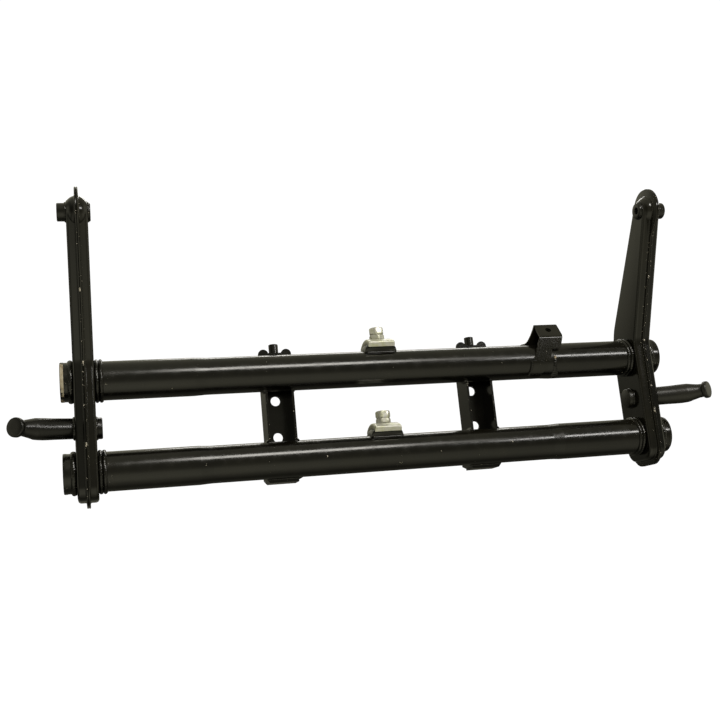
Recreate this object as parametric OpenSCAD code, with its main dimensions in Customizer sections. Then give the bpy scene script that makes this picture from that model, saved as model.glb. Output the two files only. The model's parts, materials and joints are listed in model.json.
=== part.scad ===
// Twin-tube torsion-bar front axle beam with a ride-height adjuster on each tube.
// X runs along the tubes, Z is up in the plane of the two tubes, and +Y points
// to the frame that the beam bolts to. The origin is the centre of the four
// frame bolt holes, on the rear faces of the bracket webs. Sizes are in mm.

/* [Tubes] */
// Distance between the two tube axes
tube_spacing = 150; // [148:0.5:152]
// Overall length of each tube
tube_length = 1083; // [1078:1:1090]
// Outside diameter between the side plates
tube_od = 62.8; // [62.4:0.1:63.2]
// Outside diameter of the swaged tube ends
end_od = 65; // [64.6:0.1:65.4]
// Wall thickness
tube_wall = 4; // [3.5:0.1:4.5]
// Distance from the centre at which the swage starts
swage_start = 305; // [295:1:312]
// Length of the swage
swage_length = 20; // [12:1:24]

/* [Side plates] */
// Distance between the seams of the two side plates
seam_span = 1008; // [1004:1:1012]
// Thickness of a side plate across both pressed shells
plate_depth = 33.5; // [32:0.5:35]
// Sheet thickness of the pressed shells
sheet = 3; // [2.5:0.25:3.5]
// How far the seam flange stands out of the shells
seam_lip = 6; // [4:0.5:8]
// Radius of the flange around the shock sleeve
crown_r = 40; // [38:0.5:42]
// Radius of the domed head around the shock sleeve
head_r = 26; // [25:0.5:27]
// How far the dome would reach from the seam at its centre
head_reach = 20.9; // [20:0.1:21.5]

/* [Shock sleeve] */
// Distance of the sleeve axis in front of the tube axes
sleeve_forward = 121.3; // [119:0.1:123]
// Height of the sleeve axis above the mid plane of the tubes
sleeve_height = 323.7; // [322:0.1:326]
// Outside diameter of the sleeve
sleeve_od = 29; // [27:0.5:31]
// Bore for the shock absorber bolt
sleeve_bore = 12.5; // [10.5:0.5:14.5]

/* [Bump stop horns] */
// Bar diameter
horn_d = 33; // [32:0.5:34]
// Diameter of the stub on the inner face of the side plate
stub_d = 35.4; // [34.6:0.2:36]
// Diameter of the mushroom end
knob_d = 31.3; // [30:0.1:33]
// Thickness of the mushroom end
knob_t = 9; // [8:0.5:10]

/* [Frame brackets] */
// Distance between the bracket centres
bracket_span = 365.4; // [364:0.2:367]
// Sheet thickness of the brackets
bracket_sheet = 4; // [3.5:0.25:4.5]
// Width of the channel
channel_w = 50; // [46:1:54]
// Distance between the two bolt holes of a bracket
hole_pitch = 64.4; // [63:0.2:66]
// Bolt hole diameter
bolt_hole = 17; // [15:0.5:18]
// Distance from the tube axes to the rear face of the web
seat_depth = 40.5; // [39.5:0.5:42]
// Diameter of the body mount boss
boss_d = 16.5; // [16:0.5:18]
// Thread core diameter of the body mount boss
boss_bore = 8.5; // [6.5:0.5:9.5]

/* [Steering damper bracket] */
// Distance of the bracket from the centre of the beam
damper_x = 324.5; // [322:0.5:327]
// Width across the inclined face
damper_w = 45; // [44:0.5:46]
// Bolt hole in the inclined face
damper_hole = 11; // [10.5:0.5:12]

/* [Ride-height adjusters] */
// Distance of the upper adjuster from the centre of the beam
upper_adjuster_x = 2; // [-3:0.5:3]
// Distance of the lower adjuster from the centre of the beam
lower_adjuster_x = -1; // [-3:0.5:3]
// Radial height of the welded base
base_h = 11.6; // [11:0.1:12.2]
// Length of the welded base at the tube
base_l = 58; // [56:1:60]
// Thickness of the clamp plate
clamp_t = 9.5; // [8:0.5:10]
// Length of the clamp plate
clamp_l = 48; // [46:1:50]
// Screw diameter
screw_d = 16; // [14:0.5:16]
// Width across flats of the locknut and of the screw head
hex_af = 24; // [23:0.5:25]
// Running clearance of each turning piece, measured on the radius
running_gap = 0.05; // [0.03:0.01:0.08]

/* [Hidden] */
$fn = 96;

upper_z = tube_spacing / 2;
lower_z = -tube_spacing / 2;
tube_r = tube_od / 2;
end_r = end_od / 2;
bore_r = tube_r - tube_wall;
end_bore_r = end_r - tube_wall;
half_length = tube_length / 2;
// Length over which the tube ends are bored out for the outer bearings
end_bore_l = 42;

seam_x = seam_span / 2;
outer_x = seam_x + plate_depth / 2;
inner_x = seam_x - plate_depth / 2;
sleeve_at = [-sleeve_forward, sleeve_height];
sleeve_in_x = inner_x - 4.3;
sleeve_out_x = outer_x + 13.7;
foot_r = 24;

// Side plate outline in (Y, Z), counter-clockwise from the bottom front corner
plate_path = [
  [-17, -122], [20, -122], [44, -98], [44, 98], [31, 135], [-70, 284], [-88, 311.3],
  [-101, 313.5], [-124, 305.5], [-134.5, 304], [-50, 117], [-41, 95], [-41, -98]
];

// A bump stop horn: inner end of the bar, its bend, and the ball in the neck of its knob
horn_root = [494, -1.8, -3.3];
horn_bend = [572, -36, -5.5];
horn_neck = [602.2, -55.9, -4.5];
knob_way = [0.574, -0.819, 0];
neck_r = 12;
// The bend and the ball are a little fuller than what runs into them
bend_r = horn_d / 2 + 0.9;
ball_r = neck_r + 0.8;
// The knob starts this far from the middle of the ball
knob_start = 4.5;
stub_in_x = 477.5;
stub_out_x = 500;
stub_at = [4, -3];

bracket_x = bracket_span / 2;
web_front = seat_depth - bracket_sheet;
channel_front = -10;
ear_r = 9;
ear_x = 20;

// Damper bracket profile: the front fold and the rear fold as (Y, Z)
fold_front = [-34, 115];
fold_rear = [-13, 143];
damper_tilt = atan2(fold_rear.x - fold_front.x, fold_rear.y - fold_front.y);
damper_t = 3.5;
// The rear leg leans back to the top of the tube
rear_lean = 19.4;
strap_r = 35;
// Height at which the flat of the front leg gives way to the curved strap
strap_z = 66;
damper_nut_d = 14;
damper_nut_h = 5;
damper_nut_bore = 8.5;

base_r = tube_r + base_h;
clamp_in = base_r + running_gap;
clamp_out = clamp_in + clamp_t;
// Half angles about the tube axis
slot_half = 26.5;
base_half = 33;
clamp_half = 36;
slot_w = screw_d + 2.2;
nut_h = 8;
head_h = 12;
neck_gap = 0.8;
// Turn of the locknut and of the screw head about the screw, upper and lower
nut_turn = [31.5, 0];
head_turn = [10, 0];
anchor_r = bore_r - running_gap;
anchor_l = 50;
leaf_socket = 26;
screw_depth = 17;

bearing_l = 25;
bearing_bore_r = 23;
bush_l = 30;
bush_bore_r = 18.5;
bush_x = 345;

// Cutters run this far past what they cut
past = 1;

// Where the adjuster on the tube at height z stands along the beam
function adjuster_x(z) = z > 0 ? upper_adjuster_x : lower_adjuster_x;

// Moves a shape drawn around the tube axes to the row's origin
module seated() {
  translate([0, -seat_depth, 0]) children();
}

// Draws a shape on the right (1) or mirrored on the left (-1)
module on_side(side) {
  if (side > 0) children();
  else mirror([1, 0, 0]) children();
}

// Extrudes an outline drawn in (Y, Z) along X from x0 to x1
module slab_x(x0, x1) {
  translate([x0, 0, 0]) rotate([90, 0, 90]) linear_extrude(x1 - x0) children();
}

// Extrudes an outline drawn in (X, Z) along Y from y0 to y1
module slab_y(y0, y1) {
  translate([0, y1, 0]) rotate([90, 0, 0]) linear_extrude(y1 - y0) children();
}

// A cylinder along X at a given axis, from x0 to x1
module rod_x(x0, x1, r, at = [0, 0]) {
  translate([x0, at.x, at.y]) rotate([0, 90, 0]) cylinder(h = x1 - x0, r = r);
}

// Moves a shape drawn up +Z so that it starts at p and points to q
module aim(p, q) {
  v = q - p;
  translate(p) rotate([0, acos(v.z / norm(v)), atan2(v.y, v.x)]) children();
}

// Moves every edge of a counter-clockwise outline inwards by d
function unit(v) = v / norm(v);
function inward(p, q) = let (u = unit(q - p)) [-u.y, u.x];
function inset(path, d) = [
  for (i = [0 : len(path) - 1])
    let (
      n = len(path),
      a = inward(path[(i + n - 1) % n], path[i]),
      b = inward(path[i], path[(i + 1) % n])
    )
    path[i] + d * (a + b) / (1 + a * b)
];

// A sector of a ring about X at height z, centred on the upward direction
module arc_x(r0, r1, half, x0, x1, z) {
  translate([x0, 0, z]) rotate([90, 0, 90])
    rotate([0, 0, 90 - half]) rotate_extrude(angle = 2 * half)
      translate([r0, 0]) square([r1 - r0, x1 - x0]);
}

// ---- Tubes ----

// The outside of a tube as a half profile of [radius, x]
module tube_solid(z) {
  translate([-half_length, 0, z]) rotate([0, 90, 0]) rotate_extrude()
    polygon([
      [0, 0], [end_r, 0],
      [end_r, half_length - swage_start - swage_length], [tube_r, half_length - swage_start],
      [tube_r, half_length + swage_start], [end_r, half_length + swage_start + swage_length],
      [end_r, tube_length], [0, tube_length]
    ]);
}

// The slot that the set screw of an adjuster passes through
module adjuster_slot(r0, r1, z) {
  arc_x(r0, r1, slot_half, adjuster_x(z) - slot_w / 2, adjuster_x(z) + slot_w / 2, z);
}

module axle_tube(z) {
  color([0.05, 0.05, 0.05]) seated() difference() {
    tube_solid(z);
    rod_x(-half_length, half_length, bore_r, [0, z]);
    for (side = [-1, 1]) on_side(side)
      rod_x(half_length - end_bore_l, half_length + past, end_bore_r, [0, z]);
    adjuster_slot(bore_r - past, tube_r + past, z);
  }
}

module upper_tube() { axle_tube(upper_z); }
module lower_tube() { axle_tube(lower_z); }

// Weld ring around a tube, from x0 to x1, with a rounded crown
module weld_ring(side, z, x0, x1, r) {
  color([0.07, 0.07, 0.07]) seated() on_side(side)
    translate([x0, 0, z]) rotate([0, 90, 0]) rotate_extrude()
      polygon([
        [end_r, 0], [r - 1.5, 0], [r, 2.5], [r, x1 - x0 - 2.5], [r - 1.5, x1 - x0],
        [end_r, x1 - x0]
      ]);
}

module inner_weld(side, z) { weld_ring(side, z, inner_x - 13.5, inner_x, end_r + 3.3); }
module outer_weld(side, z) { weld_ring(side, z, outer_x, outer_x + 9, end_r + 3.2); }

module left_upper_inner_weld() { inner_weld(-1, upper_z); }
module left_upper_outer_weld() { outer_weld(-1, upper_z); }
module left_lower_inner_weld() { inner_weld(-1, lower_z); }
module left_lower_outer_weld() { outer_weld(-1, lower_z); }
module right_upper_inner_weld() { inner_weld(1, upper_z); }
module right_upper_outer_weld() { outer_weld(1, upper_z); }
module right_lower_inner_weld() { inner_weld(1, lower_z); }
module right_lower_outer_weld() { outer_weld(1, lower_z); }

// ---- Side plates ----

// The pressed shell's outline, moved inwards by d
module shell_outline(d) {
  polygon(inset(plate_path, d));
  for (y = [plate_path[0].x, plate_path[1].x])
    translate([y, plate_path[2].y]) circle(foot_r - d);
}

// The flat seam flange all round the shells, with a crown and a foot tab
module flange_outline() {
  shell_outline(-seam_lip);
  translate(sleeve_at) circle(crown_r);
  polygon([[-22, -126], [-6, -131.5], [20, -130], [32, -120], [-22, -120]]);
}

// Everything that passes through a side plate
module plate_holes() {
  for (z = [lower_z, upper_z]) rod_x(inner_x - past, outer_x + past, end_r, [0, z]);
  rod_x(sleeve_in_x - past, sleeve_out_x + past, sleeve_od / 2, sleeve_at);
  horn_bar();
  horn_stub();
}

// Half of the domed head around the sleeve, thinned by d all over
module half_dome(d) {
  reach = head_reach - d;
  r = head_r - d;
  steps = [0, 0.29, 0.53, 0.72, 0.84];
  translate([seam_x, sleeve_at.x, sleeve_at.y]) rotate([0, 90, 0]) rotate_extrude()
    polygon(concat([[0, 0]], [for (t = steps) [r * sqrt(1 - t * t), t * reach]], [[0, 0.84 * reach]]));
}

// Turns a shape drawn on the outer side of the seam to the inner side
module inwards() {
  translate([2 * seam_x, 0, 0]) mirror([1, 0, 0]) children();
}

// The outer pressed shell, open at the seam, without its holes
module pressing() {
  difference() {
    union() {
      slab_x(seam_x, outer_x) shell_outline(0);
      slab_x(seam_x, seam_x + sheet) flange_outline();
      half_dome(0);
    }
    slab_x(seam_x - past, outer_x - sheet) shell_outline(sheet);
    half_dome(sheet);
  }
}

module outer_shell(side) {
  color([0.06, 0.06, 0.05]) seated() on_side(side) difference() {
    pressing();
    plate_holes();
  }
}

module inner_shell(side) {
  color([0.09, 0.09, 0.08]) seated() on_side(side) difference() {
    inwards() pressing();
    plate_holes();
  }
}

module left_outer_shell() { outer_shell(-1); }
module left_inner_shell() { inner_shell(-1); }
module right_outer_shell() { outer_shell(1); }
module right_inner_shell() { inner_shell(1); }

// ---- Shock sleeves ----

module shock_sleeve(side) {
  color([0.06, 0.06, 0.06]) seated() on_side(side) difference() {
    rod_x(sleeve_in_x, sleeve_out_x, sleeve_od / 2, sleeve_at);
    rod_x(sleeve_in_x - past, sleeve_out_x + past, sleeve_bore / 2, sleeve_at);
  }
}

module left_shock_sleeve() { shock_sleeve(-1); }
module right_shock_sleeve() { shock_sleeve(1); }

// ---- Bump stop horns ----

module horn_bar() {
  aim(horn_root, horn_bend) cylinder(h = norm(horn_bend - horn_root), d = horn_d);
}

// Straight end of the horn that stands out of the inner face of the side plate
module horn_stub() {
  rod_x(stub_in_x, stub_out_x, stub_d / 2, stub_at);
}

// Half profile of a ball about the start of a revolved piece
function ball_profile(r) = [for (a = [0 : 15 : 90]) r * [sin(a), -cos(a)]];

// Bend and tapered neck in one revolved piece
module horn_bend_and_neck() {
  reach = norm(horn_neck - horn_bend);
  aim(horn_bend, horn_neck) rotate_extrude()
    polygon(concat(ball_profile(bend_r), [[bend_r, 5], [neck_r, reach], [0, reach]]));
}

module horn_knob() {
  knob_r = knob_d / 2;
  knob_end = knob_start + knob_t;
  aim(horn_neck, horn_neck + knob_way) rotate_extrude() polygon(concat(
    ball_profile(ball_r),
    [
      [ball_r, 2.5], [knob_r - 1.5, knob_start], [knob_r, knob_start + 1.5],
      [knob_r, knob_end - 1.5], [knob_r - 2, knob_end], [0, knob_end]
    ]
  ));
}

module bump_horn(side) {
  color([0.05, 0.05, 0.05]) seated() on_side(side) {
    horn_stub();
    horn_bar();
    horn_bend_and_neck();
    horn_knob();
  }
}

module left_bump_horn() { bump_horn(-1); }
module right_bump_horn() { bump_horn(1); }

// ---- Frame brackets ----

// One side of the channel in (Y, Z), before the tubes are cut out of it
module channel_side() {
  polygon([
    [channel_front, -60], [channel_front, 60], [4, 96], [4, 108], [web_front, 108],
    [seat_depth, 104], [seat_depth, -112.5], [6, -112.5], [6, -96]
  ]);
}

// The two-eared plate over the upper tube in (X, Z), centred on the bracket
module eared_plate() {
  translate([-ear_x - ear_r, 90]) square([2 * (ear_x + ear_r), 20.5]);
  translate([-ear_x, 90]) square([2 * ear_x, 23]);
  for (x = [-ear_x, ear_x]) translate([x, 110.5]) circle(ear_r);
}

// The flared foot under the lower tube in (X, Z), centred on the bracket
module foot_plate() {
  polygon([
    [-19, -112.5], [25, -112.5], [30.5, -106], [30.5, -101], [-32, -101], [-32, -106]
  ]);
}

module bracket() {
  half = channel_w / 2;
  difference() {
    union() {
      for (x = [-half, half - bracket_sheet]) slab_x(x, x + bracket_sheet) channel_side();
      translate([-half, web_front, -112.5]) cube([channel_w, bracket_sheet, 220.5]);
      slab_y(8, 12) eared_plate();
      slab_y(6, seat_depth) foot_plate();
    }
    for (z = [lower_z, upper_z]) rod_x(-half - 10, half + 10, tube_r, [0, z]);
    for (z = [-hole_pitch / 2, hole_pitch / 2])
      translate([0, web_front - past, z]) rotate([-90, 0, 0])
        cylinder(h = bracket_sheet + 2 * past, d = bolt_hole);
    translate([0, 18, 80]) cylinder(h = 60, d = boss_d);
  }
}

module frame_bracket(side) {
  color([0.04, 0.04, 0.04]) seated() on_side(side) translate([bracket_x, 0, 0]) bracket();
}

module left_frame_bracket() { frame_bracket(-1); }
module right_frame_bracket() { frame_bracket(1); }

// Threaded boss that stands on the upper tube between the ears
module body_boss(side) {
  top = 129.5;
  color([0.08, 0.08, 0.08]) seated() on_side(side) translate([bracket_x, 0, 0]) difference() {
    translate([0, 18, 90]) cylinder(h = top - 90, d = boss_d);
    rod_x(-20, 20, tube_r, [0, upper_z]);
    translate([0, 18, top - 22]) cylinder(h = 22 + past, d = boss_bore);
  }
}

module left_body_boss() { body_boss(-1); }
module right_body_boss() { body_boss(1); }

// ---- Steering damper bracket ----

// Swept front leg in (X, Z) about the bracket centre
module damper_front_leg() {
  polygon([
    [-damper_w / 2, 118], [-damper_w / 2, 115], [-28.5, 102], [-33, 88.5], [-40.5, 72], [-43.5, strap_z],
    [-10, strap_z], [-8.5, 69], [-3.5, 84], [-1.5, 91], [5.5, 91], [14.5, 93], [18, 100.5],
    [damper_w / 2, 115], [damper_w / 2, 118]
  ]);
}

// The foot of the front leg as seen from the front, in (X, Z)
module damper_strap_outline() {
  polygon([
    [-42.5, 70], [-42, 63], [-43.5, 55], [-46.5, 48], [-45, 42], [-27, 42], [-23, 48],
    [-18, 54], [-13, 60], [-8.5, 70]
  ]);
}

// Flared rear leg in its own plane: X from the bracket centre, and down from the fold
module damper_rear_leg() {
  polygon([
    [-damper_w / 2, 2], [-damper_w / 2, 0], [-25, -9.5], [-29.5, -21], [-34, -29.5], [-41, -35], [-47, -37],
    [-47, -45], [20, -45], [20, -27], [damper_w / 2, 0],
    [damper_w / 2, 2]
  ]);
}

// Moves a shape drawn around +Z on to the middle of the inclined face
module on_damper_face() {
  mid = (fold_front + fold_rear) / 2;
  translate([damper_x, mid.x, mid.y]) rotate([90 - damper_tilt, 0, 0]) children();
}

// The inner corner of a strip of thickness t that is folded at q on its way from p to r
function fold_inside(p, q, r, t) = let (a = inward(p, q), b = inward(q, r)) q - t * (a + b) / (1 + a * b);

// The bent strip that the bracket is cut from, in (Y, Z)
module damper_strip() {
  t = damper_t;
  front_foot = [fold_front.x, strap_z];
  rear_foot = fold_rear + 45 * [sin(rear_lean), -cos(rear_lean)];
  polygon([
    front_foot, fold_front, fold_rear, rear_foot,
    rear_foot - t * inward(fold_rear, rear_foot),
    fold_inside(fold_front, fold_rear, rear_foot, t),
    fold_inside(front_foot, fold_front, fold_rear, t),
    front_foot - t * inward(front_foot, fold_front)
  ]);
}

module damper_bracket() {
  color([0.12, 0.12, 0.1]) seated() difference() {
    union() {
      intersection() {
        slab_x(damper_x - 60, damper_x + 40) damper_strip();
        union() {
          translate([damper_x, 0, 0]) slab_y(fold_front.x - 6, fold_front.x + 8) damper_front_leg();
          slab_x(damper_x - damper_w / 2, damper_x + damper_w / 2)
            polygon([[-40, 115], [-34, 115], [-29.5, 113.5], [-5, 113.5], [-5, 150], [-40, 150]]);
          translate([damper_x, fold_rear.x, fold_rear.y]) rotate([rear_lean, 0, 0])
            slab_y(-damper_t - 0.5, 3) damper_rear_leg();
        }
      }
      intersection() {
        rod_x(damper_x - 60, damper_x + 20, strap_r, [0, upper_z]);
        translate([damper_x, 0, 0]) slab_y(-strap_r - past, -6) damper_strap_outline();
      }
    }
    tube_solid(upper_z);
    on_damper_face() translate([0, 0, -8]) cylinder(h = 16, d = damper_hole);
  }
}

module damper_weld_nut() {
  color([0.1, 0.1, 0.1]) seated() on_damper_face()
    translate([0, 0, -damper_t - damper_nut_h]) difference() {
      cylinder(h = damper_nut_h, d = damper_nut_d);
      translate([0, 0, -past]) cylinder(h = damper_nut_h + 2 * past, d = damper_nut_bore);
    }
}

// ---- Ride-height adjusters ----

// Welded base with its ends rounded down to the tube
module adjuster_base(z) {
  end = base_l / 2;
  color([0.04, 0.04, 0.04]) seated() difference() {
    translate([adjuster_x(z), 0, z]) rotate([90, 0, 90])
      rotate([0, 0, 90 - base_half]) rotate_extrude(angle = 2 * base_half)
        polygon([
          [tube_r, -end], [tube_r + 5, 0.6 - end], [base_r - 3, 3 - end], [base_r, 6.5 - end],
          [base_r, end - 6.5], [base_r - 3, end - 3], [tube_r + 5, end - 0.6], [tube_r, end]
        ]);
    adjuster_slot(tube_r - past, base_r + past, z);
  }
}

module upper_adjuster_base() { adjuster_base(upper_z); }
module lower_adjuster_base() { adjuster_base(lower_z); }

module screw_hole(z) {
  translate([adjuster_x(z), 0, z]) cylinder(h = clamp_out + 40, d = screw_d);
}

module clamp_plate(z) {
  color([0.75, 0.74, 0.68]) seated() difference() {
    arc_x(clamp_in, clamp_out, clamp_half, adjuster_x(z) - clamp_l / 2, adjuster_x(z) + clamp_l / 2, z);
    screw_hole(z);
  }
}

module upper_clamp_plate() { clamp_plate(upper_z); }
module lower_clamp_plate() { clamp_plate(lower_z); }

// The locknut stands on the crown of the clamp plate
module locknut(z, turn) {
  color([0.78, 0.76, 0.7]) seated() difference() {
    translate([adjuster_x(z), 0, z + clamp_in + clamp_t / 2]) rotate([0, 0, turn])
      cylinder(h = clamp_t / 2 + nut_h, d = hex_af / cos(30), $fn = 6);
    rod_x(-2 * hex_af, 2 * hex_af, clamp_out, [0, z]);
    screw_hole(z);
  }
}

module upper_locknut() { locknut(upper_z, nut_turn[0]); }
module lower_locknut() { locknut(lower_z, nut_turn[1]); }

module set_screw(z, turn) {
  head_low = clamp_out + nut_h + neck_gap;
  color([0.8, 0.79, 0.73]) seated() translate([adjuster_x(z), 0, z]) {
    translate([0, 0, screw_depth]) cylinder(h = head_low - screw_depth, d = screw_d);
    translate([0, 0, head_low]) rotate([0, 0, turn])
      cylinder(h = head_h, d = hex_af / cos(30), $fn = 6);
  }
}

module upper_set_screw() { set_screw(upper_z, head_turn[0]); }
module lower_set_screw() { set_screw(lower_z, head_turn[1]); }

// Block inside the tube that grips the torsion leaves
module anchor(z) {
  x0 = adjuster_x(z) - anchor_l / 2;
  color([0.3, 0.3, 0.3]) seated() difference() {
    rod_x(x0, x0 + anchor_l, anchor_r, [0, z]);
    translate([x0 - past, -leaf_socket / 2, z - leaf_socket / 2])
      cube([anchor_l + 2 * past, leaf_socket, leaf_socket]);
    translate([adjuster_x(z), 0, z]) cylinder(h = anchor_r + past, d = screw_d);
  }
}

module upper_anchor() { anchor(upper_z); }
module lower_anchor() { anchor(lower_z); }

// ---- Bearings and bushes in the tubes ----

module sleeve_ring(side, z, x0, x1, r, bore) {
  color([0.45, 0.45, 0.45]) seated() on_side(side) difference() {
    rod_x(x0, x1, r, [0, z]);
    rod_x(x0 - past, x1 + past, bore, [0, z]);
  }
}

module bearing(side, z) {
  x0 = half_length - end_bore_l;
  sleeve_ring(side, z, x0, x0 + bearing_l, end_bore_r, bearing_bore_r);
}

module bush(side, z) {
  sleeve_ring(side, z, bush_x, bush_x + bush_l, bore_r, bush_bore_r);
}

module left_upper_bearing() { bearing(-1, upper_z); }
module left_lower_bearing() { bearing(-1, lower_z); }
module right_upper_bearing() { bearing(1, upper_z); }
module right_lower_bearing() { bearing(1, lower_z); }
module left_upper_bush() { bush(-1, upper_z); }
module left_lower_bush() { bush(-1, lower_z); }
module right_upper_bush() { bush(1, upper_z); }
module right_lower_bush() { bush(1, lower_z); }

upper_tube();
lower_tube();
left_outer_shell();
left_inner_shell();
left_shock_sleeve();
left_bump_horn();
left_upper_inner_weld();
left_upper_outer_weld();
left_lower_inner_weld();
left_lower_outer_weld();
right_outer_shell();
right_inner_shell();
right_shock_sleeve();
right_bump_horn();
right_upper_inner_weld();
right_upper_outer_weld();
right_lower_inner_weld();
right_lower_outer_weld();
left_frame_bracket();
left_body_boss();
right_frame_bracket();
right_body_boss();
damper_bracket();
damper_weld_nut();
upper_adjuster_base();
upper_clamp_plate();
upper_locknut();
upper_set_screw();
upper_anchor();
lower_adjuster_base();
lower_clamp_plate();
lower_locknut();
lower_set_screw();
lower_anchor();
left_upper_bearing();
left_lower_bearing();
right_upper_bearing();
right_lower_bearing();
left_upper_bush();
left_lower_bush();
right_upper_bush();
right_lower_bush();
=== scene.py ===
import json
import math
import random

import bmesh
import bpy
from mathutils import Matrix, Vector, noise


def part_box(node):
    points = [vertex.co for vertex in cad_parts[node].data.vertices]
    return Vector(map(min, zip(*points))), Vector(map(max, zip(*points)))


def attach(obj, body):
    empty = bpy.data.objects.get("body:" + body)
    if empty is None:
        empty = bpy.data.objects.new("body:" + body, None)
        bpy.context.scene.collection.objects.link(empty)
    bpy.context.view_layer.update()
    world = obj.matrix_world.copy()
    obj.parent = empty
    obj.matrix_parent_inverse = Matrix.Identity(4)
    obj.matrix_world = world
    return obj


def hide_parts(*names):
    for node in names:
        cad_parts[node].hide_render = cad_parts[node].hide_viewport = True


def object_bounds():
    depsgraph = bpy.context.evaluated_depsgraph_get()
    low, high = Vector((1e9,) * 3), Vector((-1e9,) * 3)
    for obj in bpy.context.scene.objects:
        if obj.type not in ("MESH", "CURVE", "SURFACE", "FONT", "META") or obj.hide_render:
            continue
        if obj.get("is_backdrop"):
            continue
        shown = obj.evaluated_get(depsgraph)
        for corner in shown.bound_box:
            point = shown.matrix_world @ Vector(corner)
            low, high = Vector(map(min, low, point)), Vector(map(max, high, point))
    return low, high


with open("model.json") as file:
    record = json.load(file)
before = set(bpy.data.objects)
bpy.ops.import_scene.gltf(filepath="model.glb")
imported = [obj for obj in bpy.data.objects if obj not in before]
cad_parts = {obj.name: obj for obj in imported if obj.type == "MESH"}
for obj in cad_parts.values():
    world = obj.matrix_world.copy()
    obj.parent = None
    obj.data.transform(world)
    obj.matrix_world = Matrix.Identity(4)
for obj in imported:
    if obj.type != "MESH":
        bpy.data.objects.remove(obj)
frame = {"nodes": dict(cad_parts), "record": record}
cad_lo, cad_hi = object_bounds()

BEAM, UPPER, LOWER = "beam", "upper_adjuster", "lower_adjuster"


# ---------------------------------------------------------------- places from the CAD

def lo_hi(node):
    lo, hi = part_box(node)
    return Vector(lo), Vector(hi)


def mid(node):
    lo, hi = lo_hi(node)
    return (lo + hi) / 2


def bore_r(mount):
    """The radius of a bore mount of the record, in metres."""
    return next(m["dims"]["r_mm"] for m in frame["record"]["mounts"] if m["name"] == mount) / 1000


upper_c, lower_c = mid("upper_tube"), mid("lower_tube")
tube_lo, tube_hi = lo_hi("upper_tube")
TY = upper_c.y
HALF = tube_hi.x
END_R = (tube_hi.z - tube_lo.z) / 2
MID_R = 0.0314  # the tubes are thinner between their ends
SEAM = lo_hi("right_outer_shell")[0].x
SHELL_DEPTH = 0.01675  # from the seam to a shell's flat face
FACE_OUT = SEAM + SHELL_DEPTH
FACE_IN = SEAM - SHELL_DEPTH
sleeve_lo, sleeve_hi = lo_hi("right_shock_sleeve")
SLEEVE = mid("right_shock_sleeve")
SLEEVE_R = (sleeve_hi.z - sleeve_lo.z) / 2
SIDES = (("left", -1), ("right", 1))
TUBES = (("upper", upper_c.z), ("lower", lower_c.z))


# ---------------------------------------------------------------- node helpers

class Nodes:
    """Builds a node tree a line at a time."""

    def __init__(self, tree):
        self.t = tree
        tree.nodes.clear()

    def add(self, kind, inputs=None, **props):
        n = self.t.nodes.new(kind)
        for k, v in props.items():
            setattr(n, k, v)
        for k, v in (inputs or {}).items():
            self.put(n, k, v)
        return n

    def put(self, n, key, v):
        if isinstance(v, bpy.types.NodeSocket):
            self.t.links.new(v, n.inputs[key])
        else:
            n.inputs[key].default_value = v

    def math(self, op, a, b=0.0):
        return self.add("ShaderNodeMath", {0: a, 1: b}, operation=op).outputs[0]

    def noise(self, vec, scale, detail=3.0, rough=0.5):
        n = self.add("ShaderNodeTexNoise", {"Vector": vec, "Scale": scale, "Detail": detail, "Roughness": rough})
        return n.outputs["Fac"]

    def band(self, v, lo, hi, a=0.0, b=1.0):
        n = self.add("ShaderNodeMapRange", {"Value": v, "From Min": lo, "From Max": hi, "To Min": a, "To Max": b},
                     interpolation_type="SMOOTHSTEP")
        return n.outputs["Result"]

    def mix(self, fac, a, b):
        n = self.add("ShaderNodeMix", data_type="RGBA")
        self.put(n, 0, fac)
        self.put(n, 6, a)
        self.put(n, 7, b)
        return n.outputs[2]


def new_mat(name):
    m = bpy.data.materials.new(name)
    m.use_nodes = True
    return m, Nodes(m.node_tree)


def rgb(r, g, b):
    return (r, g, b, 1.0)


SPOT_STRENGTH = 1.5  # a zone's strength is at most 1


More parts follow.
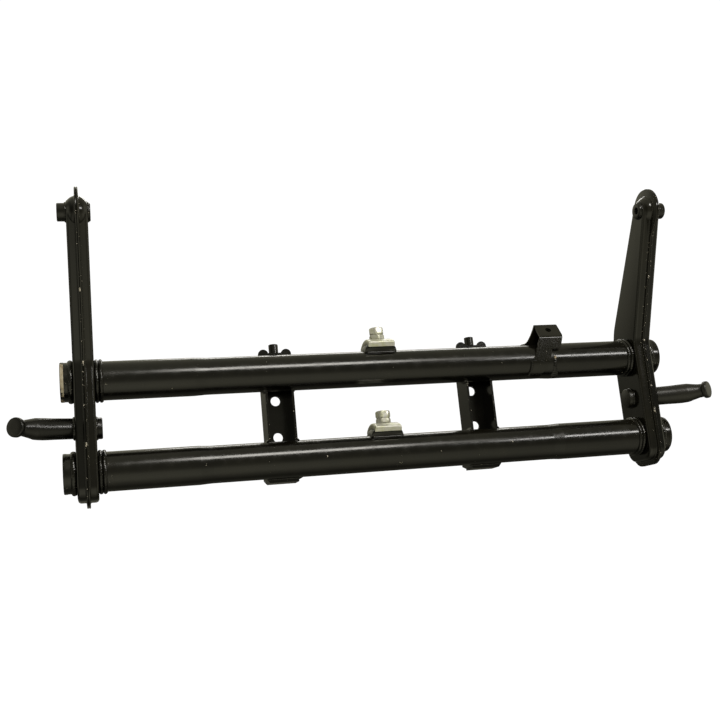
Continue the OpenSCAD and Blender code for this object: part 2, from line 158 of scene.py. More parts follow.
def paint(name, zones, chip, rough, base=(0.0042, 0.0039, 0.0029), dust=0.15, haze=0.06, spots=()):
    """Gloss black paint: orange peel, dust, dull patches, and chips to bare metal inside the zones.
    A zone is (axis, centre, half width, strength) on the absolute value of x, or on y or z; a spot is one chipped
    place, (x, y, z, radius)."""
    m, n = new_mat(name)
    co = n.add("ShaderNodeTexCoord").outputs["Object"]
    xyz = n.add("ShaderNodeSeparateXYZ", {0: co})
    broad = n.noise(co, 14.0, 4.0, 0.6)
    cloud = n.noise(co, 55.0, 5.0, 0.65)
    flake = n.noise(co, 260.0, 6.0, 0.72)
    peel = n.noise(co, 620.0, 2.0, 0.5)
    speck = n.noise(co, 1500.0, 1.0, 0.4)

    chipped = []
    for axis, at, half, strength in zones:
        v = n.math("ABSOLUTE", xyz.outputs[0]) if axis == "x" else xyz.outputs["xyz".index(axis)]
        d = n.math("ABSOLUTE", n.math("SUBTRACT", v, at))
        chipped.append(n.band(d, half, half * 0.35, 0.0, strength))
    for x, y, z, r in spots:
        d = n.add("ShaderNodeVectorMath", {0: co, 1: (x, y, z)}, operation="DISTANCE").outputs["Value"]
        chipped.append(n.band(d, r, r * 0.3, 0.0, SPOT_STRENGTH))
    zone = chipped[0]
    for other in chipped[1:]:
        zone = n.math("MAXIMUM", zone, other)
    edge = n.math("SUBTRACT", 0.735, n.math("MULTIPLY", zone, 0.16 * chip + 0.04))
    mask = n.math("MULTIPLY", n.band(n.math("SUBTRACT", flake, edge), 0.0, 0.025), n.band(zone, 0.05, 0.3))

    dusty = n.math("MULTIPLY", n.band(speck, 0.60, 0.72), n.band(cloud, 0.45, 0.75, 0.0, dust))
    tan = n.mix(n.noise(co, 900.0, 2.0), rgb(0.50, 0.43, 0.32), rgb(0.80, 0.77, 0.70))
    col = n.mix(n.band(broad, 0.3, 0.75), rgb(*base), rgb(base[0] * 1.9, base[1] * 1.85, base[2] * 1.6))
    col = n.mix(dusty, col, rgb(0.22, 0.20, 0.16))
    col = n.mix(mask, col, tan)
    r = n.math("ADD", rough, n.math("MULTIPLY", n.band(cloud, 0.35, 0.8), haze))
    r = n.math("ADD", r, n.math("MULTIPLY", mask, 0.3))
    h = n.math("ADD", n.math("MULTIPLY", peel, 0.12), n.math("MULTIPLY", cloud, 0.5))
    bump = n.add("ShaderNodeBump", {"Height": h, "Strength": 0.10, "Distance": 0.0006}).outputs[0]
    b = n.add("ShaderNodeBsdfPrincipled", {"Base Color": col, "Roughness": r, "Normal": bump, "IOR": 1.52,
                                           "Metallic": n.math("MULTIPLY", mask, 0.35)})
    n.add("ShaderNodeOutputMaterial", {"Surface": b.outputs[0]})
    return m


def zinc(name, tint, rough, stain):
    """Zinc plating with a yellow-green bloom, dull spots and a fine brushed grain."""
    m, n = new_mat(name)
    co = n.add("ShaderNodeTexCoord").outputs["Object"]
    cloud = n.noise(co, 130.0, 5.0, 0.6)
    spot = n.noise(co, 420.0, 3.0, 0.6)
    grain = n.noise(n.add("ShaderNodeMapping", {"Vector": co, "Scale": (1.0, 8.0, 1.0)}).outputs[0], 700.0, 2.0)
    col = n.mix(n.band(cloud, 0.35, 0.7), rgb(*tint), rgb(tint[0] * 0.86, tint[1] * 0.88, tint[2] * 0.68))
    col = n.mix(n.band(spot, 0.60, 0.72, 0.0, stain), col, rgb(0.30, 0.28, 0.20))
    r = n.math("ADD", rough, n.math("MULTIPLY", n.band(spot, 0.4, 0.7), 0.18))
    h = n.math("ADD", n.math("MULTIPLY", grain, 0.6), spot)
    bump = n.add("ShaderNodeBump", {"Height": h, "Strength": 0.22, "Distance": 0.0005}).outputs[0]
    b = n.add("ShaderNodeBsdfPrincipled", {"Base Color": col, "Roughness": r, "Normal": bump, "Metallic": 0.55})
    n.add("ShaderNodeOutputMaterial", {"Surface": b.outputs[0]})
    return m


def steel(name, dark, light, rough):
    """Steel turned about X, with an oily film."""
    m, n = new_mat(name)
    co = n.add("ShaderNodeTexCoord").outputs["Object"]
    grooves = n.add("ShaderNodeMapping", {"Vector": co, "Scale": (30.0, 900.0, 900.0)}).outputs[0]
    turned = n.noise(grooves, 1.0, 4.0, 0.6)
    film = n.noise(co, 90.0, 4.0, 0.6)
    col = n.mix(n.band(turned, 0.3, 0.7), rgb(*dark), rgb(*light))
    col = n.mix(n.band(film, 0.5, 0.8, 0.0, 0.5), col, rgb(0.07, 0.05, 0.03))
    bump = n.add("ShaderNodeBump", {"Height": turned, "Strength": 0.15, "Distance": 0.0004}).outputs[0]
    r = n.math("ADD", rough, n.math("MULTIPLY", film, 0.2))
    b = n.add("ShaderNodeBsdfPrincipled", {"Base Color": col, "Roughness": r, "Normal": bump, "Metallic": 0.9})
    n.add("ShaderNodeOutputMaterial", {"Surface": b.outputs[0]})
    return m


def bare(name, a, b, painted):
    """Bare or lightly rusted metal where the paint stops; runs of paint cover it where a broad noise is over
    painted."""
    m, n = new_mat(name)
    co = n.add("ShaderNodeTexCoord").outputs["Object"]
    cloud = n.noise(co, 160.0, 6.0, 0.7)
    fine = n.noise(co, 900.0, 3.0, 0.6)
    col = n.mix(n.band(cloud, 0.35, 0.65), rgb(*a), rgb(*b))
    bump = n.add("ShaderNodeBump", {"Height": fine, "Strength": 0.3, "Distance": 0.0004}).outputs[0]
    run = n.band(n.noise(co, 42.0, 4.0, 0.6), painted, painted + 0.03)
    col = n.mix(run, col, rgb(0.0045, 0.0042, 0.0032))
    r = n.math("SUBTRACT", n.band(fine, 0.2, 0.8, 0.45, 0.7), n.math("MULTIPLY", run, 0.36))
    metal = n.math("MULTIPLY", n.math("SUBTRACT", 1.0, run), 0.3)
    s = n.add("ShaderNodeBsdfPrincipled", {"Base Color": col, "Roughness": r, "Normal": bump, "Metallic": metal})
    n.add("ShaderNodeOutputMaterial", {"Surface": s.outputs[0]})
    return m


# ---------------------------------------------------------------- mesh helpers

def finish_mesh(name, bm, mats, body, replaces=(), smooth=34.0):
    """Turns a bmesh into a piece that rides on a body, with edges sharper than smooth kept sharp."""
    bmesh.ops.recalc_face_normals(bm, faces=bm.faces)
    for f in bm.faces:
        f.smooth = True
    for e in bm.edges:
        if len(e.link_faces) != 2 or e.calc_face_angle(0.0) > math.radians(smooth):
            e.smooth = False
    me = bpy.data.meshes.new(name)
    bm.to_mesh(me)
    bm.free()
    for m in mats if isinstance(mats, (list, tuple)) else [mats]:
        me.materials.append(m)
    ob = bpy.data.objects.new(name, me)
    bpy.context.scene.collection.objects.link(ob)
    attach(ob, body)
    if replaces:
        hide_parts(*replaces)
    return ob


def painted_piece(name, bm, mats, replaces=(), smooth=34.0):
    """A piece that rides on the beam."""
    return finish_mesh(name, bm, mats, BEAM, replaces, smooth)


def join_rows(bm, pairs, mat=0):
    """Quads between pairs of closed rows of equally many vertices."""
    for a, b in pairs:
        for i in range(len(a)):
            j = (i + 1) % len(a)
            bm.faces.new((a[i], a[j], b[j], b[i])).material_index = mat


def new_rows(bm, rings):
    return [[bm.verts.new(p) for p in ring] for ring in rings]


def add_loft(bm, rings, capped=True):
    """Joins closed rings of equally many points, and closes both ends if capped."""
    rows = new_rows(bm, rings)
    join_rows(bm, zip(rows, rows[1:]))
    if capped:
        bm.faces.new(rows[0])
        bm.faces.new(rows[-1])
    return rows


def frame_of(d):
    """Two unit vectors square to d."""
    d = d.normalized()
    ref = Vector((0, 0, 1)) if abs(d.z) < 0.9 else Vector((0, 1, 0))
    u = d.cross(ref).normalized()
    return u, d.cross(u).normalized()


def add_lathe(bm, centre, axis, profile, seg, mat=0, closed=False, wobble=None):
    """Revolves (distance along axis, radius) points about an axis."""
    axis = axis.normalized()
    u, v = frame_of(axis)
    rings = []
    for k, (t, r) in enumerate(profile):
        ring = []
        for i in range(seg):
            a = 2 * math.pi * i / seg
            rr = r + (wobble(a, k) if wobble else 0.0)
            ring.append(centre + axis * t + (u * math.cos(a) + v * math.sin(a)) * rr)
        rings.append(ring)
    rows = new_rows(bm, rings)
    join_rows(bm, zip(rows, rows[1:] + rows[:1] if closed else rows[1:]), mat)


BEAD_SIDES = 12


def add_bead(bm, pts, r, seed, up, closed=False, pitch=0.0035, flat=0.75):
    """A rippled weld bead along a line of points; up gives the way it stands proud, and r may be a list."""
    rnd = random.Random(seed)
    total = [0.0]
    for a, b in zip(pts, pts[1:]):
        total.append(total[-1] + (b - a).length)
    n, rings = len(pts), []
    phase = rnd.random() * 6.28
    for i, p in enumerate(pts):
        if closed:
            d = pts[(i + 1) % n] - pts[i - 1]
        else:
            d = pts[min(i + 1, n - 1)] - pts[max(i - 1, 0)]
        d.normalize()
        w = (up[i] - d * up[i].dot(d)).normalized()
        s = d.cross(w)
        wave = math.sin(2 * math.pi * total[i] / pitch + phase)
        drift = noise.noise(p * 140.0 + Vector((seed, 0, 0)))
        here = r[i] if isinstance(r, list) else r
        rr = here * (1.0 + 0.10 * wave + 0.16 * drift)
        if not closed:
            end = min(i, n - 1 - i)
            rr *= (0.35, 0.75, 0.93)[end] if end < 3 else 1.0
        c = p + s * (0.12 * here * drift)
        rings.append([c + w * (math.cos(t) * rr * flat) + s * (math.sin(t) * rr) + d * (0.35 * here * math.cos(t))
                      for t in (2 * math.pi * k / BEAD_SIDES for k in range(BEAD_SIDES))])
    if closed:
        rows = new_rows(bm, rings)
        join_rows(bm, zip(rows, rows[1:] + rows[:1]))
    else:
        add_loft(bm, rings)


def circle_x(x, y, z, r, n):
    """A circle about X: points, and outward directions."""
    dirs = [Vector((0, math.cos(2 * math.pi * i / n), math.sin(2 * math.pi * i / n))) for i in range(n)]
    return [Vector((x, y, z)) + d * r for d in dirs], dirs


def round_edges(bm, edges, width, segments):
    bmesh.ops.bevel(bm, geom=edges, offset=width, offset_type="OFFSET", segments=segments, profile=0.5,
                    affect="EDGES", clamp_overlap=True)


def bevel_copy(node, name, width, segments, mat, fold=None, fold_width=0.0):
    """A CAD node's own shape with its edges rounded off, as a new piece that stands for it. Fold is a test that
    picks edges for a wider rounding first."""
    bm = bmesh.new()
    bm.from_mesh(frame["nodes"][node].data)
    bmesh.ops.remove_doubles(bm, verts=bm.verts, dist=2e-6)
    bmesh.ops.dissolve_limit(bm, angle_limit=math.radians(0.6), verts=bm.verts, edges=bm.edges)
    if fold:
        round_edges(bm, [e for e in bm.edges if fold(e)], fold_width, 6)
    sharp = [e for e in bm.edges if len(e.link_faces) == 2 and e.calc_face_angle(0.0) > math.radians(28.0)]
    round_edges(bm, sharp, width, segments)
    even = painted_piece(name, bm, mat, (node,)).modifiers.new("flat_faces", "WEIGHTED_NORMAL")
    even.keep_sharp = True
    even.weight = 90


# ---------------------------------------------------------------- materials

# where the paint of the tubes chips: at the tower collars, on both sides of each frame bracket, round the
# adjusters, at the tube ends and at the damper bracket
TUBE_ZONES = (("x", 0.478, 0.022, 0.75), ("x", 0.157, 0.012, 0.55), ("x", 0.209, 0.012, 0.55),
              ("x", 0.0, 0.050, 0.3), ("x", 0.532, 0.012, 0.8), ("x", 0.300, 0.035, 0.3))

# single chips, where the photograph shows the largest: tube, x as a part of half the tube's length, degrees above
# the tube's front, radius
TUBE_CHIPS = (("lower", -0.584, -6.4, 0.0055), ("lower", -0.657, -6.6, 0.0030), ("lower", -0.210, -5.9, 0.0040),
              ("lower", -0.379, -20.1, 0.0025), ("lower", 0.409, 2.6, 0.0060), ("lower", 0.163, -12.0, 0.0022),
              ("lower", 0.333, -36.7, 0.0022), ("lower", 0.032, -41.0, 0.0045), ("lower", 0.821, -5.7, 0.0045),
              ("upper", -0.673, -44.5, 0.0035), ("upper", 0.410, -11.4, 0.0035))


def tube_spot(level, part, above, r):
    a = math.radians(above)
    return (part * HALF, TY - MID_R * math.cos(a), dict(TUBES)[level] + MID_R * math.sin(a), r)


SEAM_ZONE = ("x", SEAM, 0.004, 0.9)
KNOB_ZONE = ("x", 0.612, 0.012, 0.35)
m_tube = paint("tube_gloss_black", TUBE_ZONES, chip=0.45, rough=0.15, haze=0.12,
               spots=[tube_spot(*chip) for chip in TUBE_CHIPS])
m_shell_out = paint("outer_shell_gloss_black", (SEAM_ZONE,), chip=0.6, rough=0.11, dust=0.08,
                    base=(0.0030, 0.0029, 0.0024))
m_shell_in = paint("inner_shell_gloss_black", (("x", 0.501, 0.004, 0.8),), chip=0.5, rough=0.14, dust=0.10,
                   base=(0.0050, 0.0045, 0.0028))
m_weld = paint("weld_black", (("x", 0.480, 0.03, 0.9), ("x", 0.525, 0.03, 0.9)), chip=0.25, rough=0.12, dust=0.15)
m_bead = paint("bead_black", (("x", 0.19, 0.06, 0.9), ("x", 0.0, 0.05, 0.8)), chip=0.35, rough=0.15, dust=0.15)
m_tack = paint("seam_weld_black", (("x", SEAM, 0.012, 1.0),), chip=1.2, rough=0.25, base=(0.008, 0.0075, 0.006))
m_horn = paint("horn_gloss_black", (KNOB_ZONE,), chip=0.3, rough=0.25, dust=0.10, base=(0.0030, 0.0028, 0.0022))
m_horn_dull = paint("horn_dull_black", (KNOB_ZONE,), chip=0.3, rough=0.34, dust=0.2, base=(0.0058, 0.0054, 0.0040))
m_bracket = paint("bracket_gloss_black", (("y", TY - 0.010, 0.0028, 0.8), ("x", 0.206, 0.003, 0.4)), chip=0.6,
                  rough=0.14, base=(0.0028, 0.0026, 0.0020), dust=0.1)
m_boss = paint("boss_black", (("z", 0.1295, 0.002, 0.6),), chip=0.5, rough=0.2)
m_damper = paint("damper_olive_black", (("y", TY - 0.034, 0.003, 0.5), ("z", 0.116, 0.003, 0.5)), chip=0.5,
                 rough=0.09, base=(0.0060, 0.0057, 0.0040), dust=0.15, haze=0.03)
m_base = paint("adjuster_base_black", (("x", 0.030, 0.006, 0.5),), chip=0.5, rough=0.10,
               base=(0.0020, 0.0018, 0.0013), dust=0.05)
m_rusty = bare("bare_weld_metal", (0.46, 0.38, 0.27), (0.12, 0.09, 0.055), painted=0.48)
m_strip = bare("bare_tube_end", (0.66, 0.60, 0.47), (0.42, 0.33, 0.22), painted=0.50)
m_zinc = zinc("zinc_plate", (0.70, 0.69, 0.645), 0.34, 0.4)
m_zinc_head = zinc("zinc_screw_head", (0.86, 0.85, 0.82), 0.27, 0.3)
m_anchor = steel("anchor_steel", (0.16, 0.155, 0.15), (0.46, 0.45, 0.43), 0.3)
m_race = steel("bearing_race_steel", (0.35, 0.35, 0.34), (0.62, 0.62, 0.60), 0.22)
m_bush = steel("bush_bronze_steel", (0.30, 0.22, 0.12), (0.45, 0.34, 0.20), 0.35)
m_bore = steel("sleeve_bore_steel", (0.05, 0.048, 0.045), (0.12, 0.115, 0.11), 0.4)


def dress(node, mat):
    ob = frame["nodes"][node]
    ob.data.materials.clear()
    ob.data.materials.append(mat)


for level, _ in TUBES:
    dress(level + "_tube", m_tube)
    dress(level + "_anchor", m_anchor)
    for side, _s in SIDES:
        dress(f"{side}_{level}_bush", m_bush)


# ---------------------------------------------------------------- side plates

# z, and y from the tube axes' plane; a pair is (y, z)
PLATE_Z0, PLATE_FRONT, PLATE_BACK = -0.122, -0.041, 0.044
REAR_KNEE, REAR_WAIST, REAR_TOP = (0.044, 0.098), (0.031, 0.135), (-0.070, 0.284)
FRONT_TOP, FRONT_KNEE = (-0.139, 0.314), (-0.050, 0.117)
FOOT_R = 0.024
HEAD_Y, HEAD_Z = SLEEVE.y - TY, SLEEVE.z
HEAD_WALL = 0.0201
DOME_R, DOME_REACH = 0.026, 0.0209
# how far the seam flange stands out along the sides, at the foot and round the head, and the fillet at its neck
LIP, FOOT_LIP, CROWN, NECK_FILLET = 0.0058, 0.0090, 0.0398, 0.014


def outline(lines, seg=9):
    """Rounded outline in (y, z) round lines given counter-clockwise as (angle of the normal, distance, radius of
    the corner to the next line)."""
    pts = []
    for i, (a1, c1, r) in enumerate(lines):
        a2, c2, _r = lines[(i + 1) % len(lines)]
        n1, n2 = Vector((math.cos(a1), math.sin(a1))), Vector((math.cos(a2), math.sin(a2)))
        det = n1.x * n2.y - n1.y * n2.x
        v = Vector(((c1 * n2.y - c2 * n1.y) / det, (n1.x * c2 - n2.x * c1) / det))
        sign = 1 if det > 0 else -1
        c = v - sign * (n1 + n2) * (r / (1 + n1.dot(n2)))
        turn = math.atan2(det, n1.dot(n2))
        for k in range(seg + 1):
            a = a1 + turn * k / seg
            pts.append(c + sign * Vector((math.cos(a), math.sin(a))) * r)
    return pts


def plate_lines(off, bottom, head_r, head_angles, neck):
    """The side plate's lines, each moved out by off, closed by a head round the shock sleeve."""
    def through(p, q, d, r):
        t = (Vector(q) - Vector(p)).normalized()
        n = Vector((t.y, -t.x))
        return (math.atan2(n.y, n.x), n.dot(Vector(p)) + d, r)

    lines = [(-math.pi / 2, -PLATE_Z0 + bottom, FOOT_R + off), (0.0, PLATE_BACK + off, 0.060),
             through(REAR_KNEE, REAR_WAIST, off, 0.080), through(REAR_WAIST, REAR_TOP, off, neck)]
    for a in head_angles:
        a = math.radians(a)
        lines.append((a, math.cos(a) * HEAD_Y + math.sin(a) * HEAD_Z + head_r, head_r))
    a, c, _r = lines[-1]
    lines[-1] = (a, c, neck)
    lines.append(through(FRONT_TOP, FRONT_KNEE, off, 0.040 - off))
    lines.append((math.pi, -PLATE_FRONT + off, FOOT_R + off))
    return lines


def flange_outline(inset, seg=9):
    lines = plate_lines(LIP - inset, FOOT_LIP - inset, CROWN - inset, (-15, 45, 105, 165, 225), NECK_FILLET)
    return outline(lines, seg)


def wall_outline(off):
    head = HEAD_WALL + off
    return outline(plate_lines(off, off, head, (78, 119, 161), head))


def at_x(x, outline_pts):
    """An outline's (y, z) points, placed at x."""
    return [Vector((x, p.x + TY, p.y)) for p in outline_pts]


def holed_cap(bm, row, x):
    """Fills a row of vertices with a flat face that leaves the tubes and the sleeve free."""
    edges = [bm.edges.get((row[i], row[(i + 1) % len(row)])) for i in range(len(row))]
    holes = [(TY, z, END_R - 0.0008, 64) for _l, z in TUBES] + [(SLEEVE.y, SLEEVE.z, SLEEVE_R - 0.001, 40)]
    for y, z, r, n in holes:
        ring, _d = circle_x(x, y, z, r, n)
        vs = [bm.verts.new(p) for p in ring]
        edges += [bm.edges.new((vs[i], vs[(i + 1) % n])) for i in range(n)]
    bmesh.ops.triangle_fill(bm, use_beauty=True, use_dissolve=False, edges=edges)


def add_shell(bm, s, out):
    """One pressed shell: seam flange, fillet, wall, rolled edge, flat face and the dome round the sleeve."""
    g = s if out else -s
    thick = 0.0030
    edge = ((0.0001, 0.0007), (0.0006, 0.0001), (0.0012, 0.0), (0.0023, 0.0), (0.0027, 0.0003), (thick, 0.0010))
    rows = add_loft(bm, [at_x(s * SEAM + g * x, flange_outline(e)) for x, e in edge], capped=False)
    holed_cap(bm, rows[-1], s * SEAM + g * thick)
    fillet, roll = 0.0022, 0.0056
    levels = []
    for k in range(5):
        a = math.pi / 2 * k / 4
        levels.append((thick - 0.0001 + fillet * (1 - math.cos(a)), fillet * (1 - math.sin(a))))
    for k in range(8):
        a = math.pi / 2 * k / 7
        levels.append((SHELL_DEPTH - roll + roll * math.sin(a), -roll * (1 - math.cos(a))))
    rows = add_loft(bm, [at_x(s * SEAM + g * x, wall_outline(off)) for x, off in levels], capped=False)
    holed_cap(bm, rows[-1], s * SEAM + g * SHELL_DEPTH)
    prof = [(0.0029, DOME_R + 0.0014), (0.0032, DOME_R + 0.0005), (0.0038, DOME_R - 0.0001)]
    for k in range(1, 22):
        t = DOME_REACH * math.sin(math.radians(11 + 47.5 * k / 21))
        prof.append((t, DOME_R * math.sqrt(1 - (t / DOME_REACH) ** 2)))
    add_lathe(bm, Vector((s * SEAM, SLEEVE.y, SLEEVE.z)), Vector((g, 0, 0)), prof, 84)


for side, s in SIDES:
    for kind, out in (("outer", True), ("inner", False)):
        bm = bmesh.new()
        add_shell(bm, s, out)
        painted_piece(f"{side}_{kind}_pressing", bm, m_shell_out if out else m_shell_in, (f"{side}_{kind}_shell",))

    # a few short tacks on the seam, and one longer run at the foot
    pts = at_x(s * SEAM, flange_outline(0.0001, 24))
    total = [0.0]
    for a, b in zip(pts, pts[1:] + pts[:1]):
        total.append(total[-1] + (b - a).length)

    def on_seam(t):
        d = t % 1.0 * total[-1]
        i = next(i for i in range(len(pts)) if total[i + 1] >= d)
        return pts[i].lerp(pts[(i + 1) % len(pts)], (d - total[i]) / max(total[i + 1] - total[i], 1e-9))

    bm = bmesh.new()
    rnd = random.Random(11 + s)
    for k, t0 in enumerate((0.012, 0.045, 0.15, 0.27, 0.36, 0.66, 0.76, 0.87)):
        run = (0.016 if k < 2 else rnd.uniform(0.005, 0.008)) / total[-1]
        line = [on_seam(t0 + run * i / 12) for i in range(13)]
        ups = []
        for i in range(13):
            way = on_seam(t0 + run * i / 12 + 0.001) - on_seam(t0 + run * i / 12 - 0.001)
            ups.append(Vector((0, way.z, -way.y)).normalized())
        add_bead(bm, line, 0.0014, pitch=0.0026, seed=100 + k, up=ups)
    painted_piece(f"{side}_seam_tacks", bm, m_tack)

# ---------------------------------------------------------------- shock sleeves

SHOCK_BORE_R = bore_r("right_shock_bolt")

for side, s in SIDES:
    length = sleeve_hi.x - sleeve_lo.x
    c = Vector((s * sleeve_lo.x, SLEEVE.y, SLEEVE.z))
    ax = Vector((s, 0, 0))
    mouth = SHOCK_BORE_R + 0.0007
    bm = bmesh.new()
    add_lathe(bm, c, ax, [(0.0, mouth), (0.0, SLEEVE_R - 0.0012), (0.0004, SLEEVE_R - 0.0004), (0.0012, SLEEVE_R),
                          (length - 0.0012, SLEEVE_R), (length - 0.0004, SLEEVE_R - 0.0004),
                          (length, SLEEVE_R - 0.0012), (length, mouth)], 80)
    add_lathe(bm, c, ax, [(0.0, mouth), (0.0007, SHOCK_BORE_R), (length - 0.0007, SHOCK_BORE_R), (length, mouth)],
              80, mat=1)
    bmesh.ops.remove_doubles(bm, verts=bm.verts, dist=1e-6)
    painted_piece(f"{side}_sleeve_body", bm, [m_boss, m_bore], (f"{side}_shock_sleeve",))
    bm = bmesh.new()
    for x, seed in ((SEAM + 0.0174, 5), (SEAM - 0.0174, 6)):
        ring, dirs = circle_x(s * x, SLEEVE.y, SLEEVE.z, SLEEVE_R + 0.0003, 110)
        add_bead(bm, ring, 0.0016, closed=True, seed=seed + 3 * s, up=dirs)
    painted_piece(f"{side}_sleeve_welds", bm, m_weld)

# ---------------------------------------------------------------- tube ends

COLLAR_RIPPLES = 46
COLLAR_PHASE = {"left": 0.4, "right": 1.9, "upper": 0.0, "lower": 2.2}
BEARING_R = bore_r("right_upper_arm_bearing")
ROLLERS, ROLLER_R = 34, 0.0016


def add_collar(bm, node, s, z, rolls, phase):
    """A rippled weld collar of one or two rolls that fills its node's width and height."""
    lo, hi = lo_hi(node)
    x0, wide, high = min(abs(lo.x), abs(hi.x)), hi.x - lo.x, (hi.z - lo.z) / 2 - END_R

    def ripple(a, k):
        lump = noise.noise(Vector((math.cos(a) * 4, math.sin(a) * 4, phase + k * 0.25)))
        return 0.00038 * math.sin(COLLAR_RIPPLES * a + phase + k * 0.9) + 0.00045 * lump

    prof = [(0.0, END_R - 0.0006)]
    for q in range(rolls * 8 + 1):
        t = q / (rolls * 8)
        prof.append((t * wide, END_R + high * (0.18 + 0.78 * abs(math.sin(math.pi * t * rolls)) ** 0.6)))
    prof.append((wide, END_R - 0.0006))
    add_lathe(bm, Vector((s * x0, TY, z)), Vector((s, 0, 0)), prof, 150, wobble=ripple)


def add_needle_bearing(bm, node, s, z):
    """A race with lips, and its rollers."""
    lo, hi = lo_hi(node)
    x0, w, ro, ri = min(abs(lo.x), abs(hi.x)), hi.x - lo.x, (hi.z - lo.z) / 2, BEARING_R
    add_lathe(bm, Vector((s * x0, TY, z)), Vector((s, 0, 0)),
              [(0.0, ri + 0.0012), (0.0, ro - 0.0006), (0.0006, ro), (w - 0.0006, ro), (w, ro - 0.0006),
               (w, ri + 0.0012), (w - 0.0005, ri + 0.0008), (w - 0.0016, ri + 0.0008), (w - 0.0018, ri + 0.0034),
               (0.0018, ri + 0.0034), (0.0016, ri + 0.0008), (0.0005, ri + 0.0008)], 96, closed=True)
    roller = [(0.0, 0.0004), (0.0003, 0.0014), (0.0009, ROLLER_R), (w - 0.0053, ROLLER_R), (w - 0.0047, 0.0014),
              (w - 0.0044, 0.0004)]
    for k in range(ROLLERS):
        a = 2 * math.pi * k / ROLLERS
        c = Vector((s * (x0 + 0.0022), TY + math.cos(a) * (ri + ROLLER_R), z + math.sin(a) * (ri + ROLLER_R)))
        add_lathe(bm, c, Vector((s, 0, 0)), roller, 12)


# the tube's turned lip and chamfer
END_LIP = [(0.0, END_R - 0.0004), (0.0002, END_R + 0.00035), (0.0046, END_R + 0.0004), (0.0056, END_R - 0.0002),
           (0.0060, END_R - 0.0010), (0.0060, END_R - 0.0034), (0.0050, END_R - 0.0042), (0.0, END_R - 0.0043)]

for side, s in SIDES:
    for level, z in TUBES:
        for where, rolls in (("inner", 2), ("outer", 1)):
            bm = bmesh.new()
            node = f"{side}_{level}_{where}_weld"
            add_collar(bm, node, s, z, rolls, COLLAR_PHASE[side] + COLLAR_PHASE[level])
            painted_piece(f"{side}_{level}_{where}_collar", bm, m_weld, (node,), smooth=60)

    for level, z in TUBES:
        bm = bmesh.new()
        bare_end = side == "left" and level == "upper"
        add_lathe(bm, Vector((s * (HALF - 0.0058), TY, z)), Vector((s, 0, 0)), END_LIP, 128)
        painted_piece(f"{side}_{level}_end_lip", bm, m_strip if bare_end else m_tube)
        bm = bmesh.new()
        node = f"{side}_{level}_bearing"
        add_needle_bearing(bm, node, s, z)
        finish_mesh(f"{side}_{level}_needle_bearing", bm, m_race, BEAM, (node,))

# ---------------------------------------------------------------- bump stop horns

# for the right side, with y from the tube axes' plane
ROOT = Vector((0.494, -0.0018, -0.0033))
BEND = Vector((0.572, -0.036, -0.0055))
NECK = Vector((0.6022, -0.0559, -0.0045))
BAR_WAY, NECK_WAY = (BEND - ROOT).normalized(), (NECK - BEND).normalized()
KNOB_WAY = Vector((0.574, -0.819, 0)).normalized()
BAR_R, NECK_R = 0.0171, 0.0127
KNOB = ((0.0040, 0.0126), (0.0043, 0.0134), (0.0046, 0.0144), (0.0051, 0.0151), (0.0059, 0.01550),
        (0.0072, 0.01565), (0.0108, 0.01565), (0.0120, 0.0154), (0.0128, 0.0149), (0.0133, 0.0139),
        (0.0135, 0.0128), (0.0135, 0.006), (0.0135, 0.001))
STUB_X = lo_hi("right_bump_horn")[0].x
STUB_Y, STUB_Z, STUB_R = 0.004, -0.003, 0.0177


def curve(a, b, c, n):
    """Points and directions along a quadratic curve that leaves a for b and lands on c."""
    for k in range(n + 1):
        t = k / n
        yield t, a * (1 - t) ** 2 + b * (2 * t * (1 - t)) + c * t * t, ((b - a) * (1 - t) + (c - b) * t).normalized()


def horn_rings(s):
    a, b = BEND - BAR_WAY * 0.022, BEND + NECK_WAY * 0.012
    c, d = NECK - NECK_WAY * 0.005, NECK + KNOB_WAY * 0.0035
    samples = [(ROOT.lerp(a, k / 8), BAR_WAY, 0.0165 + 0.0006 * k / 8) for k in range(8)]
    samples += [(p, w, BAR_R + 0.0005 * math.sin(math.pi * t)) for t, p, w in curve(a, BEND, b, 11)]
    samples += [(b.lerp(c, k / 8), NECK_WAY, BAR_R + (NECK_R - BAR_R) * (k / 8) ** 0.9) for k in range(1, 8)]
    samples += [(p, w, NECK_R - 0.0003 * t) for t, p, w in curve(c, NECK, d, 5)]
    samples += [(NECK + KNOB_WAY * t, KNOB_WAY, r) for t, r in KNOB]
    rings = []
    for p, w, r in samples:
        u = (Vector((0, 0, 1)) - w * w.z).normalized()
        v = w.cross(u)
        ring = []
        for i in range(64):
            t = 2 * math.pi * i / 64
            rough = 0.00010 * noise.noise(Vector((p.x * 90, i * 0.3, p.y * 90)))
            q = p + (u * math.cos(t) + v * math.sin(t)) * (r + rough)
            ring.append(Vector((s * q.x, q.y + TY, q.z)))
        rings.append(ring)
    return rings


